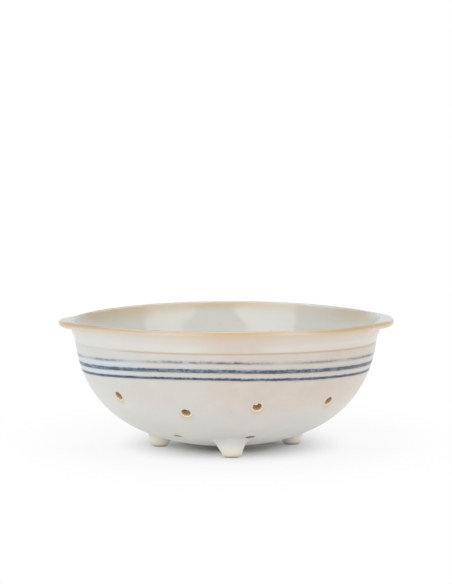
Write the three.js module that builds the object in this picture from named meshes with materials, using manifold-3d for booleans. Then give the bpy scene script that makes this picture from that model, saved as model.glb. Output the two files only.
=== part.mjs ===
// A stoneware colander: a thrown bowl with drain holes and a flared lip, two lug handles on the lip,
// three feet, and three bands of cobalt slip laid into turned grooves.
// Millimetres, +Z up. The origin is on the table, under the bowl's axis. The front faces -Y and the handles
// point along X. An azimuth is counted from the front, in degrees, towards +X.

import * as THREE from "three";
import { mergeVertices } from "three/addons/utils/BufferGeometryUtils.js";
import Module from "manifold-3d";

const wasm = await Module();
wasm.setup();

// Bowl
const HEIGHT = 101.7; // table to the top of the lip
const RIM_RADIUS = 116.7; // axis to the middle of the lip
const LIP = 5.0; // thickness of the rounded lip
const LIP_LEAN = 22; // degrees outwards from upright, at the lip
const NECK_DROP = 17.0; // lip's top down to the neck, where the wall begins to flare
const NECK_INSET = 2.6; // how much nearer the axis the neck is than the middle of the lip
const NECK_LEAN = 7.2; // degrees outwards from upright, at the neck
const WALL = 5.5; // thickness of the wall and the floor
const BASE_LIFT = 4.0; // table to the underside, on the axis
const FLOOR_SWEEP = 75.0; // how far the flat of the underside carries outwards
const WALL_SWEEP = 47.5; // how far the upright of the wall carries downwards
const RIM_SAG = 2.0; // how far the lip has sagged in the kiln at the handles

// Turned line and slip bands, by their width and their middle's drop below the neck
const GROOVE_DEPTH = 1.2;
const NECK_LINE_DROP = 0.7;
const NECK_LINE_WIDTH = 0.9;
const UPPER_BAND_DROP = 7.8;
const UPPER_BAND_WIDTH = 1.6;
const MIDDLE_BAND_DROP = 14.3;
const MIDDLE_BAND_WIDTH = 2.8;
const LOWER_BAND_DROP = 20.4;
const LOWER_BAND_WIDTH = 1.9;
const BANDS = [
  { name: "upper_band", drop: UPPER_BAND_DROP, width: UPPER_BAND_WIDTH },
  { name: "middle_band", drop: MIDDLE_BAND_DROP, width: MIDDLE_BAND_WIDTH },
  { name: "lower_band", drop: LOWER_BAND_DROP, width: LOWER_BAND_WIDTH },
];

// Drain holes
const HOLE_DIAMETER = 6.6;
const UPPER_RING_DROP = 42.2; // neck down to the ring's mean height
const LOWER_RING_RADIUS = 64;
const FLOOR_RING_RADIUS = 34;
const UPPER_RING = { count: 10, azimuth: -54 };
const UPPER_RISE = [5.5, -5.1, -0.2, 1.1, -2.5, 3.0, -3.5, 1.5, -1.0, 2.5]; // punched by hand
const UPPER_TURN = [1.4, -0.6, -3.9, -2.2, 1.5, -1.0, 2.0, -2.2, 0.8, -1.6]; // degrees
const LOWER_AZIMUTHS = [16.8, 80, 148, 210, 264, 326]; // degrees, two holes between each two feet
const FLOOR_RING = { count: 6, azimuth: 30 };

// Lug handles
const LUG_REACH = 10.3; // past the middle of the lip
const LUG_ROOT = 7; // how far inside the middle of the lip the lug's outline is centred
const LUG_THICKNESS = 5.4; // at its rounded edge
const LUG_SLOPE = 16; // degrees by which the underside falls towards the wall
const LEFT_LUG_WIDTH = 48; // of the outline, part of which lies inside the lip
const RIGHT_LUG_WIDTH = 75;
const LUGS = [
  { name: "left_handle", azimuth: -90, width: LEFT_LUG_WIDTH },
  { name: "right_handle", azimuth: 92, width: RIGHT_LUG_WIDTH },
];

// Feet
const FRONT_FOOT_RING = 55; // axis to the middle of the foot, which was set by eye
const RIGHT_FOOT_RING = 62.5;
const LEFT_FOOT_RING = 55;
const FOOT_WIDTH = 15.6; // above the rounded sole, along the ring
const FOOT_DEPTH = 15.0; // above the rounded sole, across the ring
const FOOT_ROOT = 25; // width along the ring where the foot has spread into the bowl
const FOOT_ROUND = 4.0; // edge of the sole
const FOOT_LEAN = 12; // degrees outwards from upright, above the sole
const FEET = [
  { name: "front_foot", azimuth: 5, ring: FRONT_FOOT_RING },
  { name: "right_foot", azimuth: 126.5, ring: RIGHT_FOOT_RING },
  { name: "left_foot", azimuth: 246, ring: LEFT_FOOT_RING },
];

// Joint between two luted pieces
const LUTING_GAP = 0.3;

// Fineness of the round surfaces
const TURN_STEPS = 48;
const WALL_STEPS = 12;
const FLARE_STEPS = 3;
const LIP_STEPS = 6;
const HOLE_SIDES = 12;
const FOOT_SIDES = 28;
const FOOT_STEPS = 6;
const LUG_SIDES = 40;
const LUG_EDGE_STEPS = 6;
const SOLE_STEPS = 3;

const GLAZE = { color: "#d6d2c6", roughness: 0.3, metalness: 0 };
const TOASTED = { color: "#d3b78c", roughness: 0.35, metalness: 0 };
const COBALT = { color: "#4c5c78", roughness: 0.4, metalness: 0 };

const radians = THREE.MathUtils.degToRad;
const upright = (lean) => new THREE.Vector2(Math.sin(radians(lean)), Math.cos(radians(lean)));
const outward = (tangent) => new THREE.Vector2(tangent.y, -tangent.x);
const along = (point, direction, distance) => point.clone().addScaledVector(direction, distance);

// Outer line of the wall, as radius and height, from the axis up to the neck
const neckHeight = HEIGHT - NECK_DROP;
const neck = new THREE.Vector2(RIM_RADIUS - NECK_INSET, neckHeight);
const wallLine = new THREE.CubicBezierCurve(
  new THREE.Vector2(0, BASE_LIFT),
  new THREE.Vector2(FLOOR_SWEEP, BASE_LIFT),
  along(neck, upright(NECK_LEAN), -WALL_SWEEP),
  neck,
);

// Outer line of the flare, from the neck to where the lip begins to round over
const lipMiddle = new THREE.Vector2(RIM_RADIUS, HEIGHT - LIP / 2);
const lipEdge = along(lipMiddle, outward(upright(LIP_LEAN)), LIP / 2);
const flareHandle = neck.distanceTo(lipEdge) / 3;
const flareLine = new THREE.CubicBezierCurve(
  neck,
  along(neck, upright(NECK_LEAN), flareHandle),
  along(lipEdge, upright(LIP_LEAN), -flareHandle),
  lipEdge,
);

// Point of the wall's outer line and its outward normal, where its radius ("x") or height ("y") has a value
function wallWhere(key, value) {
  let low = 0;
  let high = 1;
  for (let i = 0; i < 40; i++) {
    const middle = (low + high) / 2;
    if (wallLine.getPoint(middle)[key] < value) low = middle;
    else high = middle;
  }
  return { point: wallLine.getPoint(low), normal: outward(wallLine.getTangent(low)) };
}

// A curve's points, each moved outwards along its normal by a distance that runs from one value to another
function offsetPoints(curve, steps, from, to) {
  const points = [];
  for (let i = 0; i <= steps; i++) {
    const distance = THREE.MathUtils.lerp(from, to, i / steps);
    points.push(along(curve.getPoint(i / steps), outward(curve.getTangent(i / steps)), distance));
  }
  return points;
}

// The lip's round edge, from its outer side over the top, to its inner side or only as far as its crest
function lipArc(radius, toCrest) {
  const start = -radians(LIP_LEAN);
  const end = toCrest ? Math.PI / 2 : Math.PI - radians(LIP_LEAN);
  return new THREE.EllipseCurve(lipMiddle.x, lipMiddle.y, radius, radius, start, end).getPoints(LIP_STEPS);
}

// A profile whose ends lie exactly on the axis, without a point that lies on the one before it
function cleanProfile(points) {
  const snapped = points.map((point) => new THREE.Vector2(Math.abs(point.x) < 1e-3 ? 0 : point.x, point.y));
  return snapped.filter((point, i) => i === 0 || point.distanceTo(snapped[i - 1]) > 1e-3);
}

// A closed three.js geometry as a solid
function solidOf(geometry) {
  const bare = geometry.clone();
  bare.deleteAttribute("normal");
  bare.deleteAttribute("uv");
  const merged = mergeVertices(bare, 1e-4);
  const index = merged.index.array;
  const kept = [];
  for (let i = 0; i < index.length; i += 3) {
    const [a, b, c] = index.slice(i, i + 3);
    if (a !== b && b !== c && c !== a) kept.push(a, b, c);
  }
  const vertProperties = merged.attributes.position.array;
  return new wasm.Manifold(new wasm.Mesh({ numProp: 3, vertProperties, triVerts: new Uint32Array(kept) }));
}

// A solid as a three.js geometry
function geometryOf(solid) {
  const mesh = solid.getMesh();
  const geometry = new THREE.BufferGeometry();
  geometry.setAttribute("position", new THREE.BufferAttribute(mesh.vertProperties, 3));
  geometry.setIndex(new THREE.BufferAttribute(mesh.triVerts, 1));
  return geometry;
}

// A profile of radius and height turned about the Z axis, starting at the front
function turned(points, steps = TURN_STEPS) {
  return new THREE.LatheGeometry(cleanProfile(points), steps).rotateX(Math.PI / 2);
}

// The point at an azimuth, a radius and a height
function azimuthVector(azimuth, radius, height) {
  const turn = radians(azimuth);
  return new THREE.Vector3(radius * Math.sin(turn), -radius * Math.cos(turn), height);
}

// A ring let into the wall: its middle's drop below the neck, its width, and its outer and inner depth
function wallRing(drop, width, outer, inner) {
  const spots = [-0.5, 0.5].map((share) => wallWhere("y", neckHeight - drop + share * width));
  const face = spots.map((spot) => along(spot.point, spot.normal, outer));
  const back = spots.map((spot) => along(spot.point, spot.normal, -inner)).reverse();
  return turned([...face, ...back, face[0]]);
}

// A straight hole through the wall at a spot of its outer line
function drainHole(azimuth, spot) {
  const direction = azimuthVector(azimuth, spot.normal.x, spot.normal.y);
  const middle = along(spot.point, spot.normal, -WALL / 2);
  const hole = new THREE.CylinderGeometry(HOLE_DIAMETER / 2, HOLE_DIAMETER / 2, 3 * WALL, HOLE_SIDES);
  const turn = new THREE.Quaternion().setFromUnitVectors(new THREE.Vector3(0, 1, 0), direction);
  const place = azimuthVector(azimuth, middle.x, middle.y);
  return hole.applyQuaternion(turn).translate(place.x, place.y, place.z);
}

// All the drain holes: a ring in the wall, pairs between the feet, a ring in the floor and one on the axis
function drainHoles() {
  const holes = [];
  for (let i = 0; i < UPPER_RING.count; i++) {
    const spot = wallWhere("y", neckHeight - UPPER_RING_DROP + UPPER_RISE[i % UPPER_RISE.length]);
    const turn = UPPER_TURN[i % UPPER_TURN.length];
    holes.push(drainHole(UPPER_RING.azimuth + (i * 360) / UPPER_RING.count + turn, spot));
  }
  for (const azimuth of LOWER_AZIMUTHS) holes.push(drainHole(azimuth, wallWhere("x", LOWER_RING_RADIUS)));
  for (let i = 0; i < FLOOR_RING.count; i++) {
    const azimuth = FLOOR_RING.azimuth + (i * 360) / FLOOR_RING.count;
    holes.push(drainHole(azimuth, wallWhere("x", FLOOR_RING_RADIUS)));
  }
  holes.push(drainHole(0, wallWhere("x", 0)));
  return holes;
}

// The thrown bowl: turned wall, grooves and drain holes
function bowlGeometry() {
  const outside = [
    ...offsetPoints(wallLine, WALL_STEPS, 0, 0),
    ...offsetPoints(flareLine, FLARE_STEPS, 0, 0),
  ];
  const inside = [
    ...offsetPoints(wallLine, WALL_STEPS, -WALL, -WALL),
    ...offsetPoints(flareLine, FLARE_STEPS, -WALL, -LIP),
  ].reverse();
  let bowl = solidOf(turned([...outside, ...lipArc(LIP / 2, false), ...inside]));
  const neckLine = wallRing(NECK_LINE_DROP, NECK_LINE_WIDTH, WALL, GROOVE_DEPTH);
  const grooves = BANDS.map(({ drop, width }) => wallRing(drop, width, WALL, GROOVE_DEPTH));
  for (const cut of [neckLine, ...grooves, ...drainHoles()]) bowl = bowl.subtract(solidOf(cut));
  return geometryOf(bowl);
}

// A band of slip that fills its groove up to the wall's face
function bandGeometry({ drop, width }) {
  return wallRing(drop, width - 2 * LUTING_GAP, 0, GROOVE_DEPTH - LUTING_GAP);
}

// All the space that the bowl takes up, its hollow included, with the luting gap around it
function bowlEnvelope() {
  const above = HEIGHT + LUG_THICKNESS;
  const outside = [
    ...offsetPoints(wallLine, WALL_STEPS, LUTING_GAP, LUTING_GAP),
    ...offsetPoints(flareLine, FLARE_STEPS, LUTING_GAP, LUTING_GAP),
  ];
  const top = [new THREE.Vector2(RIM_RADIUS, above), new THREE.Vector2(0, above)];
  return solidOf(turned([...outside, ...lipArc(LIP / 2 + LUTING_GAP, true), ...top]));
}

// A flat ear that carries the lip outwards: an oval with a rounded edge and an underside that slopes
// towards the wall
function lugGeometry({ azimuth, width }) {
  const reach = LUG_ROOT + LUG_REACH;
  const round = LUG_THICKNESS / 2;
  const slope = radians(LUG_SLOPE);
  const edge = new THREE.EllipseCurve(reach - round, 0, round, round, slope - Math.PI / 2, Math.PI / 2);
  const edgePoints = edge.getPoints(LUG_EDGE_STEPS);
  const keel = edgePoints[0].y - edgePoints[0].x * Math.tan(slope);
  const profile = [new THREE.Vector2(0, keel), ...edgePoints, new THREE.Vector2(0, round)];
  const ear = turned(profile, LUG_SIDES);
  ear.scale(1, width / 2 / reach, 1);
  ear.translate(RIM_RADIUS - LUG_ROOT, 0, lipMiddle.y);
  ear.rotateZ(radians(azimuth - 90));
  return geometryOf(solidOf(ear).subtract(bowlEnvelope()));
}

// An oval foot that spreads upwards into the underside of the bowl
function footGeometry({ azimuth, ring }) {
  const sole = FOOT_WIDTH / 2;
  const seat = wallWhere("x", ring).point.y;
  const top = wallWhere("x", ring + FOOT_ROOT / 2).point.y + WALL;
  const edge = new THREE.EllipseCurve(
    sole - FOOT_ROUND, FOOT_ROUND, FOOT_ROUND, FOOT_ROUND, -Math.PI / 2, -radians(FOOT_LEAN),
  );
  const flank = edge.getPoint(1);
  const spread = new THREE.QuadraticBezierCurve(
    flank,
    along(flank, upright(FOOT_LEAN), (seat - flank.y) / 2),
    new THREE.Vector2(FOOT_ROOT / 2, seat),
  );
  const profile = [
    new THREE.Vector2(0, 0),
    ...edge.getPoints(SOLE_STEPS),
    ...spread.getPoints(FOOT_STEPS),
    new THREE.Vector2(FOOT_ROOT / 2, top),
    new THREE.Vector2(0, top),
  ];
  const foot = turned(profile, FOOT_SIDES);
  foot.scale(1, FOOT_DEPTH / FOOT_WIDTH, 1);
  foot.translate(0, -ring, 0);
  foot.rotateZ(radians(azimuth));
  return geometryOf(solidOf(foot).subtract(bowlEnvelope()));
}

// The kiln's sag: heights shrink towards the handles, and nothing on the table moves
function sagged(geometry) {
  const position = geometry.attributes.position;
  for (let i = 0; i < position.count; i++) {
    const share = (RIM_SAG / HEIGHT) * (position.getX(i) / RIM_RADIUS) ** 2;
    position.setZ(i, position.getZ(i) * (1 - share));
  }
  return geometry;
}

const colander = new THREE.Group();

function addPiece(name, geometry, look) {
  const piece = new THREE.Mesh(sagged(geometry), new THREE.MeshStandardMaterial(look));
  piece.name = name;
  colander.add(piece);
}

addPiece("bowl", bowlGeometry(), GLAZE);
for (const band of BANDS) addPiece(band.name, bandGeometry(band), COBALT);
for (const lug of LUGS) addPiece(lug.name, lugGeometry(lug), TOASTED);
for (const foot of FEET) addPiece(foot.name, footGeometry(foot), GLAZE);

export default colander;
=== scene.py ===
"""The finish of a glazed stoneware colander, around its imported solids.

Lengths are millimetres until a mesh is made, where MM turns them into the frame's metres. Materials, lamps
and the camera stand in metres. +Z is up, the front faces -Y and the handles point along X. An azimuth is
counted from the front towards +X. The wall's outer line is followed from the axis to the lip, and a place on
the wall is an azimuth and a distance along that line.
"""
import math

import bpy
import numpy as np
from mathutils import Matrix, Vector


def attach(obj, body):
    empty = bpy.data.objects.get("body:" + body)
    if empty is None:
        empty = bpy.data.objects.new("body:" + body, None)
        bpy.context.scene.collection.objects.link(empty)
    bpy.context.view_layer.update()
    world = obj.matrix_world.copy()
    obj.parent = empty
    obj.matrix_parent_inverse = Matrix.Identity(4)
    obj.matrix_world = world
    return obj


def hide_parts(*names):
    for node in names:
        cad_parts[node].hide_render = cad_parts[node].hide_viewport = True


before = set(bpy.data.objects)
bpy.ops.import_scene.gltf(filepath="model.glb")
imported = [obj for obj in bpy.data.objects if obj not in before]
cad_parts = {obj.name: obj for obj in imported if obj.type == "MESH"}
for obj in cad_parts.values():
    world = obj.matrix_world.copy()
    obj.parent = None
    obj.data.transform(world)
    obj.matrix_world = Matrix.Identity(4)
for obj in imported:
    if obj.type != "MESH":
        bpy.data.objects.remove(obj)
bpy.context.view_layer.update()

MM = 0.001


def paint(code):
    """A colour as it looks on a screen, in the shader's linear numbers."""
    channels = [int(code[i:i + 2], 16) / 255 for i in (1, 3, 5)]
    return (*[c / 12.92 if c <= 0.04045 else ((c + 0.055) / 1.055) ** 2.4 for c in channels], 1.0)


# Bowl, as in the solids
HEIGHT = 101.7
RIM_RADIUS = 116.7
LIP = 5.0
LIP_LEAN = math.radians(22)
NECK_DROP = 17.0
NECK_INSET = 2.6
NECK_LEAN = math.radians(7.2)
WALL = 5.5
BASE_LIFT = 4.0
FLOOR_SWEEP = 75.0
WALL_SWEEP = 47.5
RIM_SAG = 2.0

# Small errors of the hand and the kiln. A wave of the rim is an azimuth and a spread in degrees, and a lift
RIM_TILT = 0.65
RIM_WAVES = ((-52, 24, 1.2), (47, 24, -0.8))
RIM_WAVE_HEIGHTS = (86, 100)
ROUNDNESS_ERROR = 0.25
OVAL_TURN = 1.8
TRIANGLE_SHARE = 0.6
TRIANGLE_TURN = 3.4

# Throwing rings: depth, angle for each millimetre up, lean round the wall, and heights where they come and go
THROWING_DEPTH = 0.04
THROWING_RATE = 1.25
THROWING_LEAN = 0.8
THROWING_COMES = (30, 40)
THROWING_GOES = (92, 96)

# Turned line and slip bands. A band has its height on the wall and its width
NECK_LINE = 84.0
NECK_LINE_WIDTH = 0.9
NECK_LINE_DEPTH = 0.3
BANDS = {
    "upper_band": (76.9, 1.6),
    "middle_band": (70.4, 2.8),
    "lower_band": (64.3, 1.9),
}
BAND_PROUD = 0.12
BAND_SUNK = 0.03
BAND_DEPTH = 0.6

# How the hand wandered round the wall: an arch of the brush, a tilt and a sag of the turning tool, and the
# heights between which the tool takes over
BRUSH_WANDER = 1.0
BRUSH_CREST = -0.35
BRUSH_SPREAD = 0.7
TOOL_LIFT = 0.25
TOOL_TILT = -0.73
TOOL_SAG = 0.69
TOOL_HEIGHTS = (80, 83)

# The brush strokes: softness of the edge, bleed beside it, least and most cover, and where in the speckle the
# slip pales
STROKES = {
    "upper_band": (1.0, 0.12, 0.45, 0.92, 0.43),
    "middle_band": (0.35, 0.25, 0.77, 0.95, 0.44),
    "lower_band": (0.35, 0.22, 0.88, 1.0, 0.48),
}
BLEED_REACH = 2.4
BLEED_INSET = 0.4
COVER_SPECKLE = (0.62, 0.43)
PALING_SPAN = 0.16

# The painted height of all that isn't the outer wall, far below any band
UNLINED = -50.0

# Where the brush of the upper band ran dry: azimuth and spread in degrees, and how dry
DRY_BRUSH = (
    (-68, 8, 0.8),
    (-38, 8, 0.85),
    (-26, 5, 0.3),
    (-15, 3, 0.5),
    (23, 10, 0.85),
    (42, 7, 0.35),
    (53, 5, 0.7),
    (84, 6, 0.85),
    (128, 14, 0.85),
    (190, 18, 0.85),
    (236, 9, 0.85),
)

# Thinness of the glaze: 0 where it lies thick, 1 where it breaks to amber, 2 in the bores, 3 on bare clay
LIP_THIN = 0.75
INNER_LIP_THIN = 0.55
HOLE_EDGE_THIN = 0.3
BORE = 1.9
RAW = 3.0

# How the thin glaze fades down from the lip's crest, outside and inside: its share on the crest and the depth
# where it is whole, where the fading starts, and its length, which changes towards the handles
# On the outside, the crest keeps less amber, which paints a pale highlight along it
HIGHLIT_OUTER_CREST = 0.4
OUTER_WHOLE = 2.2
OUTER_START = 2.3
OUTER_FADE = 6.8
OUTER_FADE_ASIDE = -2.2
INNER_CREST = 0.5
INNER_WHOLE = 3
INNER_START = 4.0
INNER_FADE = 6.0
INNER_FADE_ASIDE = 7.0
INNER_FADE_POWER = 1.3

# Where the glaze has run further down from the lip: azimuth and spread in degrees, and how much further
LIP_RUNS = (
    (-70, 10, 1.0),
    (-52, 22, 1.2),
    (-20, 10, -0.3),
    (2, 14, 1.6),
    (24, 7, -1.1),
    (45, 8, 1.3),
    (62, 10, 2.0),
    (112, 20, 1.4),
    (165, 25, 0.6),
    (214, 17, 1.6),
    (256, 15, 0.8),
)
INNER_RUNS = ((-138, 24, 2.2), (170, 40, 0.6))

# Where the lip differs from that: azimuth and spread in degrees, and strength. A brown line shows on its
# crest, the inner side of the crest is pale by the lugs and carries a painted highlight at the back right,
# and the glaze lies thicker on its outer side
CREST_LINES = ((-22, 13, 0.6), (57, 14, 0.6), (212, 22, 0.45))
CREST_LINE_REACH = 0.8
PALE_AND_HIGHLIT_CREST = ((-90, 13, 1), (92, 19, 1), (144, 15, 0.8))
PALE_CREST_REACH = 6
THICK_LIP = ((-42, 30, 0.14), (78, 12, 0.12))

# Drain holes
HOLE_RADIUS = 3.3
HOLE_TAPER = 1.6
HOLE_ROUND = 1.5
UPPER_RING_HEIGHT = 42.5
UPPER_RING_COUNT = 10
UPPER_RING_AZIMUTH = math.radians(-54)
UPPER_RISE = (5.5, -5.1, -0.2, 1.1, -2.5, 3.0, -3.5, 1.5, -1.0, 2.5)
UPPER_TURN = np.radians((1.4, -0.6, -3.9, -2.2, 1.5, -1.0, 2.0, -2.2, 0.8, -1.6))
LOWER_RING_RADIUS = 64
LOWER_AZIMUTHS = np.radians((16.8, 80, 148, 210, 264, 326))
FLOOR_RING_RADIUS = 34
FLOOR_RING_COUNT = 6
FLOOR_RING_AZIMUTH = math.radians(30)

# Thin glaze round a hole: its thinness and reach above the hole, what is added to both below it, and how much
# paler the bore is made at the bottom of its outer edge
HALO_THIN = 0.15
HALO_THIN_BELOW = 0.65
HALO_REACH = 0.6
HALO_REACH_BELOW = 2.6
BORE_PALING = 0.5

# Lug handles: azimuth, spread as an angle to the front and to the back, pull outwards and lift of the tip
LUGS = {
    "left_handle": (math.radians(-90), math.radians(13), math.radians(9.5), 7.6, 1.0),
    "right_handle": (math.radians(92), math.radians(19), math.radians(19), 8.2, 0.6),
}
LUG_SLOPE = math.radians(12)
LUG_SWELL = 0.35
LUG_UNDERCUT = 0.45

# A lug's run into the lip: its ends in spreads, the stretch that makes a full lug, and how deep it is sunk in
# the lip below which stretch
LUG_ENDS = 2.25
LUG_FULL_STRETCH = 6
LUG_SUNK = 0.08
LUG_SUNK_STRETCH = (0.02, 0.4)

# A lug's section: the angles round the lip where it starts, how deep these are sunk, the shares of the
# stretch that its top is made of, and the handles of the keel as shares of its span. The skirt runs on under
# the wall's face, and the rest is hidden in the clay
LUG_CREST_ANGLES = np.radians((112, 104, 97, 90))
LUG_CREST_SUNK = 0.05
LUG_TOP_SHARES = np.linspace(0.12, 0.88, 6)
KEEL_START = 0.75
KEEL_END = 0.08
LUG_SKIRT = (0.8, 1.6)
LUG_SKIRT_SUNK = 0.06
LUG_HIDDEN_DEPTH = 1.5
LUG_HIDDEN_MIDDLE = np.array((-0.4, 0.4))
HIDDEN_THIN = 0.1

# Thinness of a lug's glaze: by the crest, on the flat top and on the edge, which pales at the tip and down
# the keel, and the angles of the edge between which it grows
LUG_CREST_THIN = 0.12
LUG_TOP_THIN = 0.06
LUG_EDGE_THIN = 0.78
LUG_TIP_PALING = 0.45
LUG_TIP_SPREAD = 0.5
LUG_KEEL_PALING = 0.08
LUG_EDGE_ANGLES = np.radians((85, 15))

# Feet: azimuth, distance of the foot's middle from the axis, and how much further it spreads on its left
FEET = {
    "front_foot": (math.radians(5), 55, 2.2),
    "right_foot": (math.radians(126.5), 62.5, 0.0),
    "left_foot": (math.radians(246), 55, 0.0),
}
FOOT_WIDTH = 15.6
FOOT_DEPTH = 15.0
FOOT_ROOT_WIDTH = 28
FOOT_ROOT_OUT = 10
FOOT_ROOT_IN = 13
FOOT_ROUND = 4.0
FOOT_LEAN = math.radians(12)

# A foot's flank: its two handles as shares of its height and width, how deep its edge is sunk in the bowl,
# the skirt that runs on under the bowl's face, and what is hidden in the clay
FOOT_CLIMB = 0.45
FOOT_SWEEP = 0.4
FOOT_SUNK = 0.03
FOOT_SKIRT = 0.6
FOOT_SKIRT_SUNK = 0.15
FOOT_HIDDEN_SHARE = 0.8
FOOT_HIDDEN_DEPTH = 1.5

# Thinness of a foot's glaze and the height that it reaches: creamy, worn near the sole and darkened there as
# painted contact shadow, and bare on it
FOOT_CREAM = 0.45
FOOT_CREAM_HEIGHT = 5
FOOT_WORN_AND_SHADE = 1.4
FOOT_WORN_AND_SHADE_HEIGHT = 1.1
FOOT_BARE_HEIGHT = 0.25

# Fineness of the meshes, with the height above which the bowl's rows lie closer
WALL_SAMPLES = 600
FLARE_SAMPLES = 120
COLUMNS = 360
ROW_STEP = 1.6
BANDED_ROW_STEP = 0.7
BANDED_FROM = 58
LIP_STEPS = 14
ROUND_STEPS = 5
BAND_STEPS = 8
LUG_STEPS = 100
LUG_EDGE_STEPS = 13
LUG_KEEL_STEPS = 8
FOOT_SIDES = 72
FLANK_STEPS = 14
SOLE_RINGS = (0.4, 0.75, 1.0)

# The photograph's framing: a pixel is in millimetres, at the axis, and the camera's distance in metres
PHOTO_WIDTH = 452
PHOTO_HEIGHT = 584
PIXEL = 0.7593
AXIS_PIXEL_X = 225.7
TABLE_PIXEL_Y = 449.6
CAMERA_ELEVATION = math.radians(5.65)
CAMERA_DISTANCE = 10.0
SENSOR = 36.0

# Colours, as they look on a screen
INNER = paint("#e2e2db")
# Painted light: lighter colours for the unlined parts below the lip and for the lugs
UNLINED_PAINTED_LIGHT = paint("#eaeae6")
LUG_PAINTED_LIGHT = paint("#f6f6f4")
COOL = paint("#d3d3ce")
WARM = paint("#d3c6ba")
# Milky mottles, and a painted highlight above the neck line
MILK_AND_HIGHLIGHT = paint("#e2e1d9")
CREAM = paint("#f0eadd")
# Painted shade low on the bowl, deeper on its flanks
FLANK_SHADE = paint("#b9b9b0")
HAZE = paint("#d3dee6")
AMBER = paint("#d5b78a")
TOAST = paint("#b4946a")
BROWN = paint("#8a7556")
CLAY = paint("#b08a62")
# Darker copies of amber and brown, painted as shade near the base
AMBER_IN_SHADE = paint("#cbc0a8")
BROWN_IN_SHADE = paint("#857863")
NAVY = paint("#2a3a50")
COBALT = paint("#546e86")
LINE = paint("#b0936a")
WHITE = (1, 1, 1, 1)

# Noise in the glaze: scale and detail
CLOUDS = (9, 2)
MOTTLE = (70, 4)
GRAIN = (520, 3)
STREAK = (110, 4)
STREAK_SHAPE = (1, 1, 4)
NOISE_ROUGHNESS = 0.55
FLECK_SCALE = 230

# Where the colour changes, for the glaze and for the painted light and shade: two limits, and the strengths
# at them where these aren't 0 and 1. A single number is a strength or a place. X and Z are in metres, and
# painted heights and distances from a band or line in millimetres
WARM_X = (-0.02, 0.14)
WARM_DRIFT = 0.2
WARM_Z = (0.025, 0.055, 0.3, 1)
# Painted light on the unlined parts, growing from under the lip down to the neck
UNLINED_PAINTED_LIGHT_Z = (0.096, 0.084, 0, 0.5)
# Painted highlight above the neck line, and the gap at the front where it is weaker
NECK_HIGHLIGHT_FROM = (83.8, 86.0)
NECK_HIGHLIGHT_TO = (93, 88, 0.2, 0.5)
NECK_HIGHLIGHT_GAP_X = 0.007
NECK_HIGHLIGHT_GAP = (0.01, 0.035, 0.1, 1)
MILK_MOTTLE = (0.35, 0.75, 0, 0.18)
# Painted shade low down, deeper towards the flanks
FLANK_SHADE_X = (0.02, 0.07, 0.1, 0.5)
FLANK_SHADE_Z = (0.042, 0.018)
CREAM_Z = (0.012, 0.005)
WOBBLE = 0.7
FRAY = 1.2
HAZE_REACH = (12, 3)
HAZE_X = (-0.045, -0.1, 0.12, 0.8)
LINE_REACH = (1.25, 0.1)
LINE_X = (-0.092, -0.065, 0.06, 0.45)
# Painted shade by the base, where the broken colours darken
BREAK_SHADE_Z = (0.022, 0.015)
FLECK_REACH = (0.13, 0.05)
FLECK_IRON = (0.86, 0.95, 0, 0.5)

# What shows as the glaze thins: limits of the thinness, the colour higher up and the colour by the base, a
# darker copy painted as shade except on bare clay
BREAKS = (
    (0.08, 0.95, AMBER, AMBER_IN_SHADE),
    (0.9, 1.5, TOAST, BROWN_IN_SHADE),
    (1.4, 2.0, BROWN, BROWN_IN_SHADE),
    (2.4, 2.9, CLAY, CLAY),
)
BREAK_WOBBLE = 0.12

# Gloss of the glaze: its index of refraction, its roughness on the outer wall, by mottle, on the lugs and
# where it thins, and its relief
GLAZE_IOR = 1.58
SATIN = 0.25
MOTTLE_LIMITS = (0.3, 0.7)
MOTTLE_GLOSS = (0.03, 0.07)
LUG_DRYNESS = 0.36
BROKEN_GLOSS = (0.1, 0.6, 0, 0.15)
BARE_GLOSS = (1.2, 2.8, 0, 0.3)
GRAIN_RELIEF = 0.25
RELIEF_DEPTH = 0.0005

# Studio: radiance of the backdrop and of the ceiling, and the sines of the elevations where the one ends and
# the other starts
BACKDROP = 0.63
BACKDROP_TOP = math.sin(math.radians(12))
CEILING = 0.02
CEILING_START = math.sin(math.radians(26))

# Softboxes: azimuth, elevation, width and height in metres, and radiance
SOFTBOX_DISTANCE = 1.5
SOFTBOXES = {
    "left_front": (math.radians(-39), math.radians(30), 1.15, 1.5, 1.8),
    "right_front": (math.radians(53), math.radians(30), 0.93, 1.5, 1.66),
    "back": (math.radians(180), math.radians(58), 1.6, 1.0, 1.45),
    "top": (math.radians(0), math.radians(90), 1.5, 1.5, 0.95),
}

# Table, in metres: its size, the middle and shape of the oval that keeps the shadow, and how it glows white
# beyond that, near and far, which also lights the object
FLOOR_SIZE = 12
TABLE = (0.92, 0.94, 0.98, 1)
SHADOW_MIDDLE = (0.0035, 0.05, 0)
SHADOW_SHAPE = (1.1, 0.6, 1)
GLOW_NEAR = (0.032, 0.105, 0, 0.87)
GLOW_FAR = (0.1, 0.22, 0, 0.13)


def lean_direction(lean):
    return np.array((math.sin(lean), math.cos(lean)))


def bezier_at(t, a, b, c, d):
    return (1 - t) ** 3 * a + 3 * (1 - t) ** 2 * t * b + 3 * (1 - t) * t ** 2 * c + t ** 3 * d


def bezier(a, b, c, d, steps):
    return bezier_at(np.linspace(0, 1, steps + 1)[:, None], a, b, c, d)


def smoothstep(low, high, value):
    t = np.clip((value - low) / (high - low), 0, 1)
    return t * t * (3 - 2 * t)


neck = np.array((RIM_RADIUS - NECK_INSET, HEIGHT - NECK_DROP))
lip_middle = np.array((RIM_RADIUS, HEIGHT - LIP / 2))
lip_edge = lip_middle + LIP / 2 * np.array((math.cos(LIP_LEAN), -math.sin(LIP_LEAN)))


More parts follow.
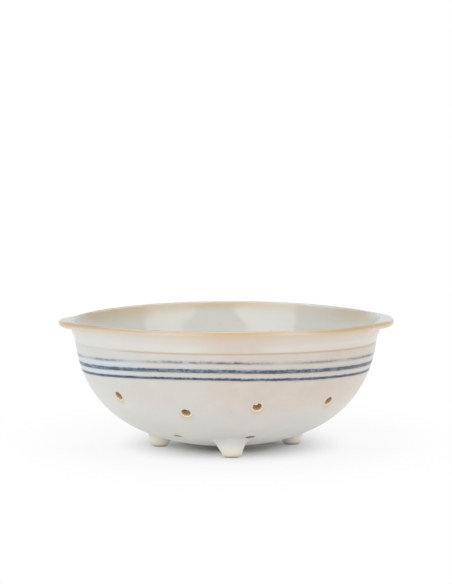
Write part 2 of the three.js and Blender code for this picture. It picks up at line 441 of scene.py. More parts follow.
class OuterLine:
    """The wall's outer line as radius and height, from the axis to where the lip rounds over."""

    def __init__(self):
        floor = np.array((0, BASE_LIFT))
        wall = bezier(
            floor,
            floor + np.array((FLOOR_SWEEP, 0)),
            neck - WALL_SWEEP * lean_direction(NECK_LEAN),
            neck,
            WALL_SAMPLES,
        )
        handle = np.linalg.norm(lip_edge - neck) / 3
        flare = bezier(
            neck,
            neck + handle * lean_direction(NECK_LEAN),
            lip_edge - handle * lean_direction(LIP_LEAN),
            lip_edge,
            FLARE_SAMPLES,
        )
        points = np.concatenate((wall, flare[1:]))
        steps = np.linalg.norm(np.diff(points, axis=0), axis=1)
        self.along = np.concatenate(((0,), np.cumsum(steps)))
        self.radius, self.height = points.T
        tangent = np.gradient(points, self.along, axis=0)
        tangent /= np.linalg.norm(tangent, axis=1)[:, None]
        self.normal = np.stack((tangent[:, 1], -tangent[:, 0]), axis=1)
        self.length = self.along[-1]
        self.neck_at = self.at_height(neck[1])

    def at_height(self, height):
        return np.interp(height, self.height, self.along)

    def at_radius(self, radius):
        return np.interp(radius, self.radius, self.along)

    def height_under(self, radius):
        return np.interp(radius, self.radius, self.height)

    def place(self, distance, lift=0.0):
        """Radius and height at a distance along the line, lifted outwards along the normal."""
        radius = np.interp(distance, self.along, self.radius)
        height = np.interp(distance, self.along, self.height)
        normal_radius = np.interp(distance, self.along, self.normal[:, 0])
        normal_height = np.interp(distance, self.along, self.normal[:, 1])
        return radius + lift * normal_radius, height + lift * normal_height

    def thickness(self, distance):
        share = np.clip((distance - self.neck_at) / (self.length - self.neck_at), 0, 1)
        return WALL + (LIP - WALL) * share


outer = OuterLine()


def bells(azimuth, places):
    """The sum of bells round the bowl, each given by its middle and spread in degrees and by its height."""
    total = np.zeros_like(azimuth)
    for middle, spread, height in places:
        away = (azimuth - math.radians(middle) + math.pi) % math.tau - math.pi
        total = total + height * np.exp(-(away / math.radians(spread)) ** 2)
    return total


def fired(azimuth, radius, height):
    """Where a thrown point ends up in the kiln, in metres: out of round, and sunk towards the handles."""
    rise = height / HEIGHT
    oval = np.sin(2 * azimuth - OVAL_TURN)
    triangle = np.sin(3 * azimuth + TRIANGLE_TURN)
    drift = ROUNDNESS_ERROR * rise * (oval + TRIANGLE_SHARE * triangle)
    x = (radius + drift) * np.sin(azimuth)
    y = -(radius + drift) * np.cos(azimuth)
    across = x / RIM_RADIUS
    lift = rise * (RIM_TILT * across - RIM_SAG * across ** 2)
    lift = lift + bells(azimuth, RIM_WAVES) * smoothstep(*RIM_WAVE_HEIGHTS, height)
    return np.stack((x, y, height + lift), axis=-1) * MM


def painted_height(azimuth, height):
    """The height that a brush or turning tool meant, where its hand wandered round the wall."""
    around = (azimuth - BRUSH_CREST + math.pi) % math.tau - math.pi
    brush = BRUSH_WANDER * (2 * np.exp(-(around / BRUSH_SPREAD) ** 2) - 1)
    tool = TOOL_LIFT + TOOL_TILT * np.sin(azimuth) + TOOL_SAG * np.sin(azimuth) ** 2
    wander = brush + (tool - brush) * smoothstep(*TOOL_HEIGHTS, height)
    return height - wander


def brush_load(azimuth):
    """How much slip the brush of the upper band still held, round the wall."""
    return np.maximum(1 - bells(azimuth, DRY_BRUSH), 0)


class Clay:
    """Vertices and faces of one piece, with what the glaze needs to know at each vertex.

    That is how thin the glaze runs, which painted height it has, how much slip the brush held there, and how
    much it belongs to a lug.
    """

    def __init__(self):
        self.points = []
        self.thin = []
        self.painted = []
        self.load = []
        self.lug = []
        self.faces = []

    def ring(self, azimuth, radius, height, thin, painted=UNLINED, lug=0.0):
        """Adds a row of vertices and returns their indices."""
        values = np.broadcast_arrays(azimuth, radius, height, thin, painted, lug)
        azimuth, radius, height, thin, painted, lug = values
        first = len(self.points)
        self.points.extend(fired(azimuth, radius, height).tolist())
        self.thin.extend(thin.tolist())
        self.painted.extend(painted.tolist())
        self.load.extend(brush_load(azimuth).tolist())
        self.lug.extend(lug.tolist())
        return list(range(first, len(self.points)))

    def join(self, lower, upper):
        """Faces between two closed rows, seen from outside with the lower row running to the right."""
        count = len(lower)
        for i in range(count):
            k = (i + 1) % count
            self.faces.append((lower[i], lower[k], upper[k], upper[i]))

    def cap(self, row):
        """One face that closes the end of a piece."""
        self.faces.append(tuple(row))

    def build(self, name, node, slot, material):
        """Makes the Blender object that stands for a node of the solids."""
        mesh = bpy.data.meshes.new(name)
        mesh.from_pydata(self.points, [], self.faces)
        layers = {
            "thin_glaze": self.thin,
            "painted_height": self.painted,
            "brush_load": self.load,
            "lug_share": self.lug,
        }
        for label, values in layers.items():
            attribute = mesh.attributes.new(label, "FLOAT", "POINT")
            attribute.data.foreach_set("value", np.array(values, dtype=np.float32))
        mesh.shade_smooth()
        mesh.materials.append(material)
        piece = bpy.data.objects.new(name, mesh)
        bpy.context.collection.objects.link(piece)
        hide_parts(node)
        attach(piece, "root")


def drain_holes():
    """Azimuth and distance along the outer line of each hole's middle, apart from the one on the axis."""
    places = []
    for i, (rise, turn) in enumerate(zip(UPPER_RISE, UPPER_TURN)):
        azimuth = UPPER_RING_AZIMUTH + i * math.tau / UPPER_RING_COUNT + turn
        places.append((azimuth, outer.at_height(UPPER_RING_HEIGHT + rise)))
    places.extend((azimuth, outer.at_radius(LOWER_RING_RADIUS)) for azimuth in LOWER_AZIMUTHS)
    for i in range(FLOOR_RING_COUNT):
        azimuth = FLOOR_RING_AZIMUTH + i * math.tau / FLOOR_RING_COUNT
        places.append((azimuth, outer.at_radius(FLOOR_RING_RADIUS)))
    return places


def hole_section():
    """Reach from a hole's axis, depth below the outer face and thinness of glaze, from outside inwards."""
    angles = np.linspace(0, math.pi / 2, ROUND_STEPS + 1)
    lip = HOLE_ROUND * (1 - np.sin(angles))
    depth = HOLE_ROUND * (1 - np.cos(angles))
    thin = HOLE_EDGE_THIN + (BORE - HOLE_EDGE_THIN) * np.sin(angles) ** 4
    return list(zip(
        np.concatenate((HOLE_RADIUS + lip, HOLE_RADIUS - HOLE_TAPER + lip[::-1])),
        np.concatenate((depth, WALL - depth[::-1])),
        np.concatenate((thin, thin[::-1])),
    ))


def row_distances():
    """Distances along the outer line of the bowl's rows, closer together where the bands are."""
    start = outer.at_radius(HOLE_RADIUS + HOLE_ROUND)
    banded = outer.at_height(BANDED_FROM)
    plain = np.linspace(start, banded, round((banded - start) / ROW_STEP))
    fine = np.linspace(banded, outer.length, round((outer.length - banded) / BANDED_ROW_STEP))
    return np.concatenate((plain, fine[1:]))


class Wall:
    """The bowl's grid of azimuths and distances, moved so that a block of it fits each drain hole.

    The grid is moved up to SPREAD times the hole's own size from its middle.
    """

    SPREAD = 2.3

    def __init__(self):
        rows = row_distances()
        columns = np.linspace(0, math.tau, COLUMNS, endpoint=False)
        self.azimuth, self.distance = np.meshgrid(columns, rows)
        self.open_cells = np.zeros(self.azimuth.shape, dtype=bool)
        self.halo = np.zeros(self.azimuth.shape)
        self.rims = [self.fit_hole(rows, columns, *place) for place in drain_holes()]

    def fit_hole(self, rows, columns, azimuth, distance):
        """Moves the grid round one hole and returns its middle, its rim in the grid and the rim's angles."""
        edge = HOLE_RADIUS + HOLE_ROUND
        radius, _ = outer.place(distance)
        step = columns[1]
        middle = round(azimuth / step)
        row = int(np.argmin(abs(rows - distance)))
        half_columns = max(2, round(edge / (radius * step)))
        half_rows = max(2, round(edge / (rows[row + 1] - rows[row])))
        reach_columns = int(half_columns * self.SPREAD)
        reach_rows = int(half_rows * self.SPREAD)
        for j in range(row - reach_rows, row + reach_rows + 1):
            for i in range(middle - reach_columns, middle + reach_columns + 1):
                across, up = (i - middle) / half_columns, (j - row) / half_rows
                ring = max(abs(across), abs(up))
                column = i % COLUMNS
                if ring < 1:
                    continue
                angle = math.atan2(up, across)
                here = np.array((radius * (i * step - azimuth), rows[j] - distance))
                there = edge * ring * np.array((math.cos(angle), math.sin(angle)))
                free = smoothstep(1, self.SPREAD, ring)
                moved = there + (here - there) * free
                self.azimuth[j, column] = azimuth + moved[0] / radius
                self.distance[j, column] = distance + moved[1]
                away = np.linalg.norm(moved) - edge
                below = 0.5 - 0.5 * math.sin(angle)
                reach = HALO_REACH + HALO_REACH_BELOW * below
                self.halo[j, column] = (HALO_THIN + HALO_THIN_BELOW * below) * math.exp(-away / reach)
        for j in range(row - half_rows, row + half_rows):
            for i in range(middle - half_columns, middle + half_columns):
                self.open_cells[j, i % COLUMNS] = True
        bottom = [(row - half_rows, i) for i in range(middle - half_columns, middle + half_columns)]
        right = [(j, middle + half_columns) for j in range(row - half_rows, row + half_rows)]
        top = [(row + half_rows, i) for i in range(middle + half_columns, middle - half_columns, -1)]
        left = [(j, middle - half_columns) for j in range(row + half_rows, row - half_rows, -1)]
        rim = bottom + right + top + left
        angles = [math.atan2((j - row) / half_rows, (i - middle) / half_columns) for j, i in rim]
        return azimuth, distance, [(j, i % COLUMNS) for j, i in rim], np.array(angles)


def lip_thinness(azimuth, below_crest, inside):
    """How thin the glaze runs at a distance down from the lip's crest, on the outer or the inner side."""
    line = bells(azimuth, CREST_LINES) * np.exp(-(below_crest / CREST_LINE_REACH) ** 2)
    if inside:
        start = INNER_START + bells(azimuth, INNER_RUNS)
        fade = INNER_FADE + INNER_FADE_ASIDE * np.sin(azimuth) ** 2
        crest = INNER_CREST + (1 - INNER_CREST) * smoothstep(0, INNER_WHOLE, below_crest)
        faded = np.exp(-(np.maximum(below_crest - start, 0) / fade) ** INNER_FADE_POWER)
        # Pale by the lugs, and a painted highlight at the back right
        pale = bells(azimuth, PALE_AND_HIGHLIT_CREST) * np.exp(-(below_crest / PALE_CREST_REACH) ** 2)
        return (INNER_LIP_THIN * crest * faded + line) * (1 - pale)
    start = OUTER_START + bells(azimuth, LIP_RUNS)
    fade = OUTER_FADE + OUTER_FADE_ASIDE * np.sin(azimuth) ** 2
    # The smaller share on the outer crest paints a pale highlight along it
    crest = HIGHLIT_OUTER_CREST + (1 - HIGHLIT_OUTER_CREST) * smoothstep(0, OUTER_WHOLE, below_crest)
    most = LIP_THIN - bells(azimuth, THICK_LIP)
    return most * crest * np.exp(-np.maximum(below_crest - start, 0) / fade) + line


def turned_relief(azimuth, distance):
    """Faint throwing rings on the wall, and the line cut at the neck."""
    _, height = outer.place(distance)
    away = (painted_height(azimuth, height) - NECK_LINE) / NECK_LINE_WIDTH
    rings = THROWING_DEPTH * np.sin(distance * THROWING_RATE + THROWING_LEAN * np.sin(azimuth))
    rings = rings * smoothstep(*THROWING_COMES, height) * (1 - smoothstep(*THROWING_GOES, height))
    return rings - NECK_LINE_DEPTH * np.exp(-(2 * away) ** 2)


def make_bowl(material):
    """The wall's outer and inner faces, the lip over them and the drain holes through them."""
    clay = Clay()
    wall = Wall()
    quarter = LIP / 2 * (math.pi / 2 + LIP_LEAN)
    outer_rows, inner_rows = [], []
    for azimuth, distance, halo in zip(wall.azimuth, wall.distance, wall.halo):
        below = outer.length - distance + quarter
        radius, height = outer.place(distance, turned_relief(azimuth, distance))
        thin = np.maximum(halo, lip_thinness(azimuth, below, inside=False))
        painted = painted_height(azimuth, outer.place(distance)[1])
        outer_rows.append(clay.ring(azimuth, radius, height, thin, painted))
        radius, height = outer.place(distance, -outer.thickness(distance))
        below = below - 2 * LIP_LEAN * LIP / 2
        thin = np.maximum(halo, lip_thinness(azimuth, below, inside=True))
        inner_rows.append(clay.ring(azimuth, radius, height, thin))

    rows = len(outer_rows)
    for j in range(rows - 1):
        for i in range(COLUMNS):
            if wall.open_cells[j, i]:
                continue
            k = (i + 1) % COLUMNS
            lower, upper = outer_rows[j], outer_rows[j + 1]
            clay.faces.append((lower[i], lower[k], upper[k], upper[i]))
            lower, upper = inner_rows[j], inner_rows[j + 1]
            clay.faces.append((lower[k], lower[i], upper[i], upper[k]))

    azimuths = wall.azimuth[-1]
    previous = outer_rows[-1]
    for angle in np.linspace(-LIP_LEAN, math.pi - LIP_LEAN, LIP_STEPS + 1)[1:-1]:
        radius, height = lip_middle + LIP / 2 * np.array((math.cos(angle), math.sin(angle)))
        below = LIP / 2 * abs(math.pi / 2 - angle)
        thin = lip_thinness(azimuths, below, inside=angle > math.pi / 2)
        ring = clay.ring(azimuths, radius, height, thin)
        clay.join(previous, ring)
        previous = ring
    clay.join(previous, inner_rows[-1])

    section = hole_section()
    for azimuth, distance, rim, angles in wall.rims:
        middle_radius, _ = outer.place(distance)
        previous = [outer_rows[j][i] for j, i in rim]
        for reach, depth, thin in section[1:-1]:
            at = distance + reach * np.sin(angles)
            radius, height = outer.place(at, -depth)
            low = 0.5 - 0.5 * np.sin(angles)
            shaded = thin * (1 - BORE_PALING * low * (1 - depth / WALL))
            ring = clay.ring(azimuth + reach * np.cos(angles) / middle_radius, radius, height, shaded)
            clay.join(previous, ring)
            previous = ring
        clay.join(previous, [inner_rows[j][i] for j, i in rim])

    previous = outer_rows[0]
    for reach, depth, thin in section[1:-1]:
        radius, height = outer.place(outer.at_radius(reach), -depth)
        ring = clay.ring(azimuths, radius, height, thin)
        clay.join(ring, previous)
        previous = ring
    clay.join(inner_rows[0], previous)
    drop_unused(clay).build("glazed_bowl", "bowl", "glaze", material)


def drop_unused(clay):
    """Removes vertices that no face uses, such as those inside the drain holes."""
    used = sorted({index for face in clay.faces for index in face})
    place = {old: new for new, old in enumerate(used)}
    clean = Clay()
    clean.points = [clay.points[i] for i in used]
    clean.thin = [clay.thin[i] for i in used]
    clean.painted = [clay.painted[i] for i in used]
    clean.load = [clay.load[i] for i in used]
    clean.lug = [clay.lug[i] for i in used]
    clean.faces = [tuple(place[i] for i in face) for face in clay.faces]
    return clean


def make_band(name, height, width, material):
    """A bead of slip that stands a little proud of its groove and follows the brush round the wall."""
    clay = Clay()
    azimuth = np.linspace(0, math.tau, COLUMNS, endpoint=False)
    wander = height - painted_height(azimuth, height)
    rows = []
    for share in np.linspace(-0.5, 0.5, BAND_STEPS + 1):
        lift = BAND_PROUD * (1 - (2 * share) ** 2) ** 0.5 - BAND_SUNK
        distance = outer.at_height(height + wander + share * width)
        radius, level = outer.place(distance, lift + turned_relief(azimuth, distance))
        painted = painted_height(azimuth, outer.place(distance)[1])
        rows.append(clay.ring(azimuth, radius, level, 0, painted))
    for share in (0.5, -0.5):
        distance = outer.at_height(height + wander + share * width)
        radius, level = outer.place(distance, -BAND_DEPTH)
        rows.append(clay.ring(azimuth, radius, level, 0))
    for lower, upper in zip(rows, rows[1:] + rows[:1]):
        clay.join(lower, upper)
    clay.build(f"slip_{name}", name, "cobalt_slip", material)


def lug_section(azimuth, stretch, raised, full, toast):
    """The lip's section drawn outwards: radius, height and thinness of glaze, from the crest to the wall."""
    edge = LIP / 2 + LUG_SWELL * full
    sunk = -LUG_SUNK * (1 - smoothstep(*LUG_SUNK_STRETCH, stretch))
    tip = lip_middle + np.array((stretch - LUG_SWELL * full, raised - LUG_SWELL * full))
    end = -LIP_LEAN - (math.pi / 2 - LUG_SLOPE - LIP_LEAN) * full
    quarter = edge * (math.pi / 2 + LIP_LEAN)

    def mixed(below_crest, drawn):
        plain = lip_thinness(azimuth, below_crest, inside=False)
        return plain + (drawn - plain) * full

    points = []
    for angle in LUG_CREST_ANGLES:
        point = lip_middle + (LIP / 2 - LUG_CREST_SUNK) * np.array((math.cos(angle), math.sin(angle)))
        points.append((*point, mixed(0, LUG_CREST_THIN)))
    for share in LUG_TOP_SHARES:
        height = lip_middle[1] + LIP / 2 + sunk + share * raised
        points.append((lip_middle[0] + share * stretch, height, mixed(0, LUG_TOP_THIN)))
    for angle in np.linspace(math.pi / 2, end, LUG_EDGE_STEPS + 1):
        drawn = LUG_TOP_THIN + toast * smoothstep(*LUG_EDGE_ANGLES, angle)
        point = tip + (edge + sunk) * np.array((math.cos(angle), math.sin(angle)))
        points.append((*point, mixed(edge * (math.pi / 2 - angle), drawn)))
    start = np.array(points[-1][:2])
    foot_at = outer.length - LUG_UNDERCUT * stretch
    foot = np.array(outer.place(foot_at, sunk))
    up_wall = (np.array(outer.place(foot_at + 0.1, sunk)) - foot) / 0.1
    inward = np.array((math.sin(end), -math.cos(end)))
    span = np.linalg.norm(start - foot)
    first, last = start + KEEL_START * span * inward, foot + KEEL_END * span * up_wall
    keel = bezier(start, first, last, foot, LUG_KEEL_STEPS)
    for i, point in enumerate(keel[1:]):
        below = quarter + LUG_UNDERCUT * stretch * (i + 1) / LUG_KEEL_STEPS
        points.append((*point, mixed(below, toast - LUG_KEEL_PALING * i)))
    for further in LUG_SKIRT:
        thin = lip_thinness(azimuth, quarter + LUG_UNDERCUT * stretch + further, inside=False)
        points.append((*outer.place(foot_at - further, -LUG_SKIRT_SUNK), thin))
    points.append((*outer.place(foot_at - LUG_SKIRT[-1], -LUG_HIDDEN_DEPTH), HIDDEN_THIN))
    points.append((*(lip_middle + LUG_HIDDEN_MIDDLE), HIDDEN_THIN))
    return points


def make_lug(name, azimuth, front_spread, back_spread, pull, lift, material):
    """A stretch of the lip pulled outwards, most in its middle and fading to both sides."""
    clay = Clay()
    rows = []
    facing = -1 if azimuth > 0 else 1
    for share in np.linspace(-LUG_ENDS, LUG_ENDS, LUG_STEPS + 1):
        turn = share * (front_spread if share * facing > 0 else back_spread)
        bell = math.exp(-share ** 2)
        toast = LUG_EDGE_THIN - LUG_TIP_PALING * math.exp(-(share / LUG_TIP_SPREAD) ** 2)
        full = min(1.0, pull * bell / LUG_FULL_STRETCH)
        section = np.array(lug_section(azimuth + turn, pull * bell, lift * bell, full, toast))
        rows.append(clay.ring(azimuth + turn, section[:, 0], section[:, 1], section[:, 2], lug=full))
    for left, right in zip(rows, rows[1:]):
        clay.join(left, right)
    clay.cap(rows[0][::-1])
    clay.cap(rows[-1])
    clay.build(f"lug_{name}", name, "toasted_glaze", material)


def foot_thinness(height):
    """Glaze thinness at a height on a foot: wiped off the sole, worn and painted as contact shadow just
    above, creamy higher.
    """
    cream = FOOT_CREAM * np.exp(-(height / FOOT_CREAM_HEIGHT) ** 2)
    # Worn near the sole, and darkened there as painted contact shadow
    worn_and_shade = FOOT_WORN_AND_SHADE * np.exp(-(height / FOOT_WORN_AND_SHADE_HEIGHT) ** 2)
    bare = (RAW - FOOT_CREAM - FOOT_WORN_AND_SHADE) * np.exp(-(height / FOOT_BARE_HEIGHT) ** 2)
    return cream + worn_and_shade + bare


def make_foot(name, azimuth, ring, spread, material):
    """An oval foot whose flank sweeps out until it lies along the bowl's underside."""
    clay = Clay()
    turns = np.linspace(0, math.tau, FOOT_SIDES, endpoint=False)
    aside, ahead = np.cos(turns), -np.sin(turns)
    sole = 1 / np.hypot(aside / (FOOT_WIDTH / 2), ahead / (FOOT_DEPTH / 2))
    root_depth = np.where(ahead > 0, FOOT_ROOT_OUT, FOOT_ROOT_IN)
    left = spread * np.maximum(0, -aside) ** 2
    root = 1 / np.hypot(aside / (FOOT_ROOT_WIDTH / 2), ahead / root_depth) + left

    def at(reach):
        """Azimuth and radius at a reach from the foot's own axis."""
        along, out = reach * aside, ring + reach * ahead
        return azimuth + np.arctan2(along, out), np.hypot(along, out)

    def under(reach):
        return outer.height_under(at(reach)[1])

    slope = under(root + 0.5) - under(root - 0.5)
    top = under(root)
    rows = [clay.ring(*at(share * (sole - FOOT_ROUND)), 0, RAW) for share in SOLE_RINGS]
    for angle in np.linspace(-math.pi / 2, -FOOT_LEAN, ROUND_STEPS + 1)[1:]:
        reach = sole - FOOT_ROUND + FOOT_ROUND * math.cos(angle)
        height = FOOT_ROUND * (1 + math.sin(angle))
        rows.append(clay.ring(*at(reach), height, foot_thinness(height)))
    climb = FOOT_CLIMB * (top - height)
    handle = FOOT_SWEEP * (root - reach) / np.sqrt(1 + slope ** 2)
    lower = reach + climb * math.tan(FOOT_LEAN) + left
    for t in np.linspace(0, 1, FLANK_STEPS + 1)[1:]:
        flank = bezier_at(t, reach, lower, root - handle, root)
        level = bezier_at(t, height, height + climb, top - handle * slope, top)
        painted = UNLINED * (1 - t)
        rows.append(clay.ring(*at(flank), level - FOOT_SUNK * t ** 4, foot_thinness(level), painted))
    skirt, hidden = root + FOOT_SKIRT, root * FOOT_HIDDEN_SHARE
    rows.append(clay.ring(*at(skirt), under(skirt) + FOOT_SKIRT_SUNK, 0, 0))
    rows.append(clay.ring(*at(hidden), under(hidden) + FOOT_HIDDEN_DEPTH, 0, 0))
    for lower, upper in zip(rows, rows[1:]):
        clay.join(lower, upper)
    clay.cap(rows[0][::-1])
    clay.cap(rows[-1])
    clay.build(f"glazed_{name}", name, "glaze", material)


class Nodes:
    """Short calls for the nodes of one material."""

    def __init__(self, tree):
        self.tree = tree

    def feed(self, socket, value):
        if isinstance(value, bpy.types.NodeSocket):
            self.tree.links.new(value, socket)
        else:
            socket.default_value = value

    def add(self, kind, inputs=None, **settings):
        made = self.tree.nodes.new(f"ShaderNode{kind}")
        for key, value in settings.items():
            setattr(made, key, value)
        for key, value in (inputs or {}).items():
            self.feed(made.inputs[key], value)
        return made

    def noise(self, place, scale, detail):
        inputs = {"Vector": place, "Scale": scale, "Detail": detail, "Roughness": NOISE_ROUGHNESS}
        return self.add("TexNoise", inputs).outputs["Fac"]

    def ramp(self, value, low, high, start=0.0, end=1.0):
        """Goes smoothly from start to end while the value goes from low to high."""
        inputs = {"Value": value, "From Min": low, "From Max": high, "To Min": start, "To Max": end}
        return self.add("MapRange", inputs, interpolation_type="SMOOTHSTEP").outputs["Result"]

    def calc(self, operation, a, b=0.0):
        return self.add("Math", {0: a, 1: b}, operation=operation).outputs[0]

    def blend(self, share, a, b):
        return self.add("Mix", {0: share, 6: a, 7: b}, data_type="RGBA").outputs[2]

    def layer(self, name):
        return self.add("Attribute", attribute_name=name).outputs["Fac"]


def plain_colour(n, spots, clouds, mottle, painted, lug):
    """The white glaze lying thick: warm on the right, milky in mottles, creamy low down, with painted light
    and shade.
    """
    drift = n.calc("MULTIPLY", clouds, WARM_DRIFT)
    side = n.ramp(n.calc("ADD", spots["X"], drift), *WARM_X)
    side = n.calc("MULTIPLY", side, n.ramp(spots["Z"], *WARM_Z))
    # Painted light: the lugs made lighter as if lit from above, and the unlined parts lighter below the lip
    inside = n.blend(n.ramp(spots["Z"], *UNLINED_PAINTED_LIGHT_Z), n.blend(lug, INNER, LUG_PAINTED_LIGHT), UNLINED_PAINTED_LIGHT)
    colour = n.blend(n.ramp(painted, UNLINED, 0), inside, n.blend(side, COOL, WARM))
    # Painted highlight above the neck line, weaker at the front, and milky mottles at random
    neck_highlight = n.calc("MULTIPLY", n.ramp(painted, *NECK_HIGHLIGHT_FROM), n.ramp(painted, *NECK_HIGHLIGHT_TO))
    highlight_gap = n.calc("ABSOLUTE", n.calc("SUBTRACT", spots["X"], NECK_HIGHLIGHT_GAP_X))
    neck_highlight = n.calc("MULTIPLY", neck_highlight, n.ramp(highlight_gap, *NECK_HIGHLIGHT_GAP))
    colour = n.blend(n.calc("MAXIMUM", neck_highlight, n.ramp(mottle, *MILK_MOTTLE)), colour, MILK_AND_HIGHLIGHT)
    # Painted shade low down, deeper towards the flanks
    flank = n.ramp(n.calc("ABSOLUTE", spots["X"]), *FLANK_SHADE_X)
    colour = n.blend(n.calc("MULTIPLY", flank, n.ramp(spots["Z"], *FLANK_SHADE_Z)), colour, FLANK_SHADE)
    return n.blend(n.ramp(spots["Z"], *CREAM_Z), colour, CREAM)


def painted_colour(n, colour, place, spots, grain, wobble, painted):
    """The brushed bands with the blue haze round them, and the turned line at the neck."""
    fray = n.calc("MULTIPLY", n.calc("SUBTRACT", grain, 0.5), FRAY)
    drawn_out = n.add("VectorMath", {0: place, 1: STREAK_SHAPE}, operation="MULTIPLY").outputs["Vector"]
    streak = n.noise(drawn_out, *STREAK)
    level = n.calc("ADD", n.calc("ADD", painted, wobble), fray)
    away = n.calc("ABSOLUTE", n.calc("SUBTRACT", level, BANDS["middle_band"][0]))
    veil = n.calc("MULTIPLY", n.ramp(away, *HAZE_REACH), n.ramp(spots["X"], *HAZE_X))
    colour = n.blend(veil, colour, HAZE)
    speckle = n.calc("ADD", n.calc("MULTIPLY", streak, 0.5), n.calc("MULTIPLY", grain, 0.5))
    for band, (height, width) in BANDS.items():
        softness, bleed, least, most, paling = STROKES[band]
        away = n.calc("ABSOLUTE", n.calc("SUBTRACT", level, height))
        cover = n.ramp(away, width / 2 + softness, width / 2 - softness)
        cover = n.calc("MULTIPLY", cover, n.ramp(speckle, *COVER_SPECKLE, least, most))
        if band == "upper_band":
            cover = n.calc("MULTIPLY", cover, n.layer("brush_load"))
        slip = n.blend(n.ramp(speckle, paling, paling + PALING_SPAN), NAVY, COBALT)
        stain = n.ramp(away, width / 2 + BLEED_REACH, width / 2 - BLEED_INSET, 0, bleed)
        colour = n.blend(cover, n.blend(stain, colour, COBALT), slip)
    away = n.calc("ABSOLUTE", n.calc("SUBTRACT", painted, NECK_LINE))
    scored = n.calc("MULTIPLY", n.ramp(away, *LINE_REACH), n.ramp(spots["X"], *LINE_X))
    return n.blend(scored, colour, LINE)


def broken_colour(n, colour, place, spots, run):
    """The colours that come through as the glaze thins, darker by the base as painted shade, and flecks of
    iron.
    """
    # Painted shade by the base: the broken colours turn to their darker copies
    low = n.ramp(spots["Z"], *BREAK_SHADE_Z)
    for thick, thin, upper, lower in BREAKS:
        colour = n.blend(n.ramp(run, thick, thin), colour, n.blend(low, upper, lower))
    flecks = n.add("TexVoronoi", {"Vector": place, "Scale": FLECK_SCALE}).outputs
    iron = n.add("SeparateColor", {0: flecks["Color"]}).outputs[0]
    fleck = n.calc("MULTIPLY", n.ramp(flecks["Distance"], *FLECK_REACH), n.ramp(iron, *FLECK_IRON))
    return n.blend(fleck, colour, TOAST)


def make_glaze(name, dryness, relief):
    """White glaze over iron-bearing clay and painted bands, which breaks to amber where it runs thin."""
    material = bpy.data.materials.new(name)
    material.use_nodes = True
    n = Nodes(material.node_tree)
    shader = material.node_tree.nodes["Principled BSDF"]
    place = n.add("TexCoord").outputs["Object"]
    spots = n.add("SeparateXYZ", {0: place}).outputs
    clouds = n.noise(place, *CLOUDS)
    mottle = n.noise(place, *MOTTLE)
    grain = n.noise(place, *GRAIN)
    painted = n.layer("painted_height")
    lug = n.layer("lug_share")
    wobble = n.calc("MULTIPLY", n.calc("SUBTRACT", mottle, 0.5), WOBBLE)
    run = n.calc("ADD", n.layer("thin_glaze"), n.calc("MULTIPLY", wobble, BREAK_WOBBLE))

    colour = plain_colour(n, spots, clouds, mottle, painted, lug)
    colour = painted_colour(n, colour, place, spots, grain, wobble, painted)
    n.feed(shader.inputs["Base Color"], broken_colour(n, colour, place, spots, run))
    n.feed(shader.inputs["IOR"], GLAZE_IOR)

    rough = n.ramp(mottle, *MOTTLE_LIMITS, *[dryness + least for least in MOTTLE_GLOSS])
    rough = n.calc("ADD", n.ramp(painted, UNLINED, 0, 0, SATIN), rough)
    rough = n.calc("ADD", rough, n.calc("MULTIPLY", lug, LUG_DRYNESS))
    bare = n.calc("ADD", n.ramp(run, *BROKEN_GLOSS), n.ramp(run, *BARE_GLOSS))
    n.feed(shader.inputs["Roughness"], n.calc("ADD", rough, bare))
    skin = n.calc("ADD", mottle, n.calc("MULTIPLY", grain, GRAIN_RELIEF))
    bump = n.add("Bump", {"Height": skin, "Strength": relief, "Distance": RELIEF_DEPTH})
    n.feed(shader.inputs["Normal"], bump.outputs["Normal"])
    return material


def make_floor():
    """A pale table that keeps the shadow in an oval by the object and glows white beyond it, lighting the
    object too.
    """
    bpy.ops.mesh.primitive_plane_add(size=FLOOR_SIZE)
    floor = bpy.context.object
    floor.name = "table"
    material = bpy.data.materials.new("table")
    material.use_nodes = True
    n = Nodes(material.node_tree)
    output = material.node_tree.nodes["Material Output"]
    place = n.add("TexCoord").outputs["Object"]
    shifted = n.add("VectorMath", {0: place, 1: SHADOW_MIDDLE}, operation="SUBTRACT").outputs["Vector"]
    shaped = n.add("VectorMath", {0: shifted, 1: SHADOW_SHAPE}, operation="MULTIPLY").outputs["Vector"]
    reach = n.add("VectorMath", {0: shaped}, operation="LENGTH").outputs["Value"]
    near = n.add("BsdfDiffuse", {"Color": TABLE}).outputs[0]
    far = n.add("Emission", {"Color": WHITE, "Strength": 1.0}).outputs[0]
    # Painted light: the table glows white outside the oval round the object
    glow = n.calc("ADD", n.ramp(reach, *GLOW_NEAR), n.ramp(reach, *GLOW_FAR))
    mixed = n.add("MixShader", {0: glow, 1: near, 2: far}).outputs[0]
    n.feed(output.inputs["Surface"], mixed)
    floor.data.materials.append(material)


def make_world():
    """A studio with a white backdrop all round, up to a low height, and a dim ceiling."""
    world = bpy.data.worlds.new("studio")
    bpy.context.scene.world = world
    world.use_nodes = True
    n = Nodes(world.node_tree)
    studio = world.node_tree.nodes["Background"]
    climb = n.add("SeparateXYZ", {0: n.add("TexCoord").outputs["Generated"]}).outputs["Z"]
    n.feed(studio.inputs["Color"], WHITE)
    n.feed(studio.inputs["Strength"], n.ramp(climb, BACKDROP_TOP, CEILING_START, BACKDROP, CEILING))


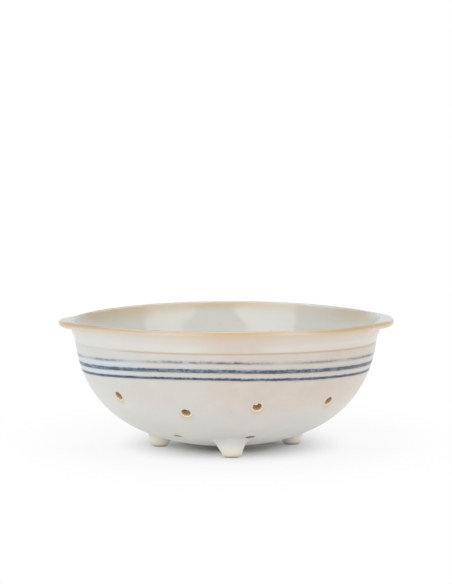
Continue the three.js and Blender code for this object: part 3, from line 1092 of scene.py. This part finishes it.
def make_softbox(name, azimuth, elevation, width, height, radiance):
    """A rectangular lamp that faces the middle of the object, its azimuth counted from the front."""
    lamp = bpy.data.lights.new(name, "AREA")
    lamp.shape = "RECTANGLE"
    lamp.size, lamp.size_y = width, height
    lamp.energy = radiance * math.pi * width * height
    box = bpy.data.objects.new(name, lamp)
    bpy.context.collection.objects.link(box)
    level = math.cos(elevation)
    toward = Vector((level * math.sin(azimuth), -level * math.cos(azimuth), math.sin(elevation)))
    box.location = toward * SOFTBOX_DISTANCE + Vector((0, 0, HEIGHT / 2 * MM))
    box.rotation_euler = toward.to_track_quat("Z", "Y").to_euler()


def make_camera():
    """A camera far off that looks a little down, framed as the photograph is."""
    camera = bpy.data.cameras.new("camera")
    camera.sensor_width = SENSOR
    camera.lens = CAMERA_DISTANCE * SENSOR / (PHOTO_HEIGHT * PIXEL * MM)
    camera.clip_end = 100
    holder = bpy.data.objects.new("camera", camera)
    bpy.context.collection.objects.link(holder)
    right = (PHOTO_WIDTH / 2 - AXIS_PIXEL_X) * PIXEL * MM
    up = (TABLE_PIXEL_Y - PHOTO_HEIGHT / 2) * PIXEL * MM / math.cos(CAMERA_ELEVATION)
    back = Vector((0, -math.cos(CAMERA_ELEVATION), math.sin(CAMERA_ELEVATION)))
    holder.location = Vector((right, 0, up)) + CAMERA_DISTANCE * back
    holder.rotation_euler = back.to_track_quat("Z", "Y").to_euler()
    bpy.context.scene.camera = holder


white_glaze = make_glaze("white_glaze", dryness=0.0, relief=0.08)
toasted_glaze = make_glaze("toasted_glaze", dryness=0.0, relief=0.01)
cobalt_slip = make_glaze("cobalt_slip", dryness=0.06, relief=0.08)
make_bowl(white_glaze)
for band_name, band in BANDS.items():
    make_band(band_name, *band, cobalt_slip)
for lug_name, lug in LUGS.items():
    make_lug(lug_name, *lug, toasted_glaze)
for foot_name, foot in FEET.items():
    make_foot(foot_name, *foot, white_glaze)
make_floor()
make_world()
for softbox_name, softbox in SOFTBOXES.items():
    make_softbox(softbox_name, *softbox)
make_camera()
bpy.context.scene.view_settings.view_transform = "Standard"
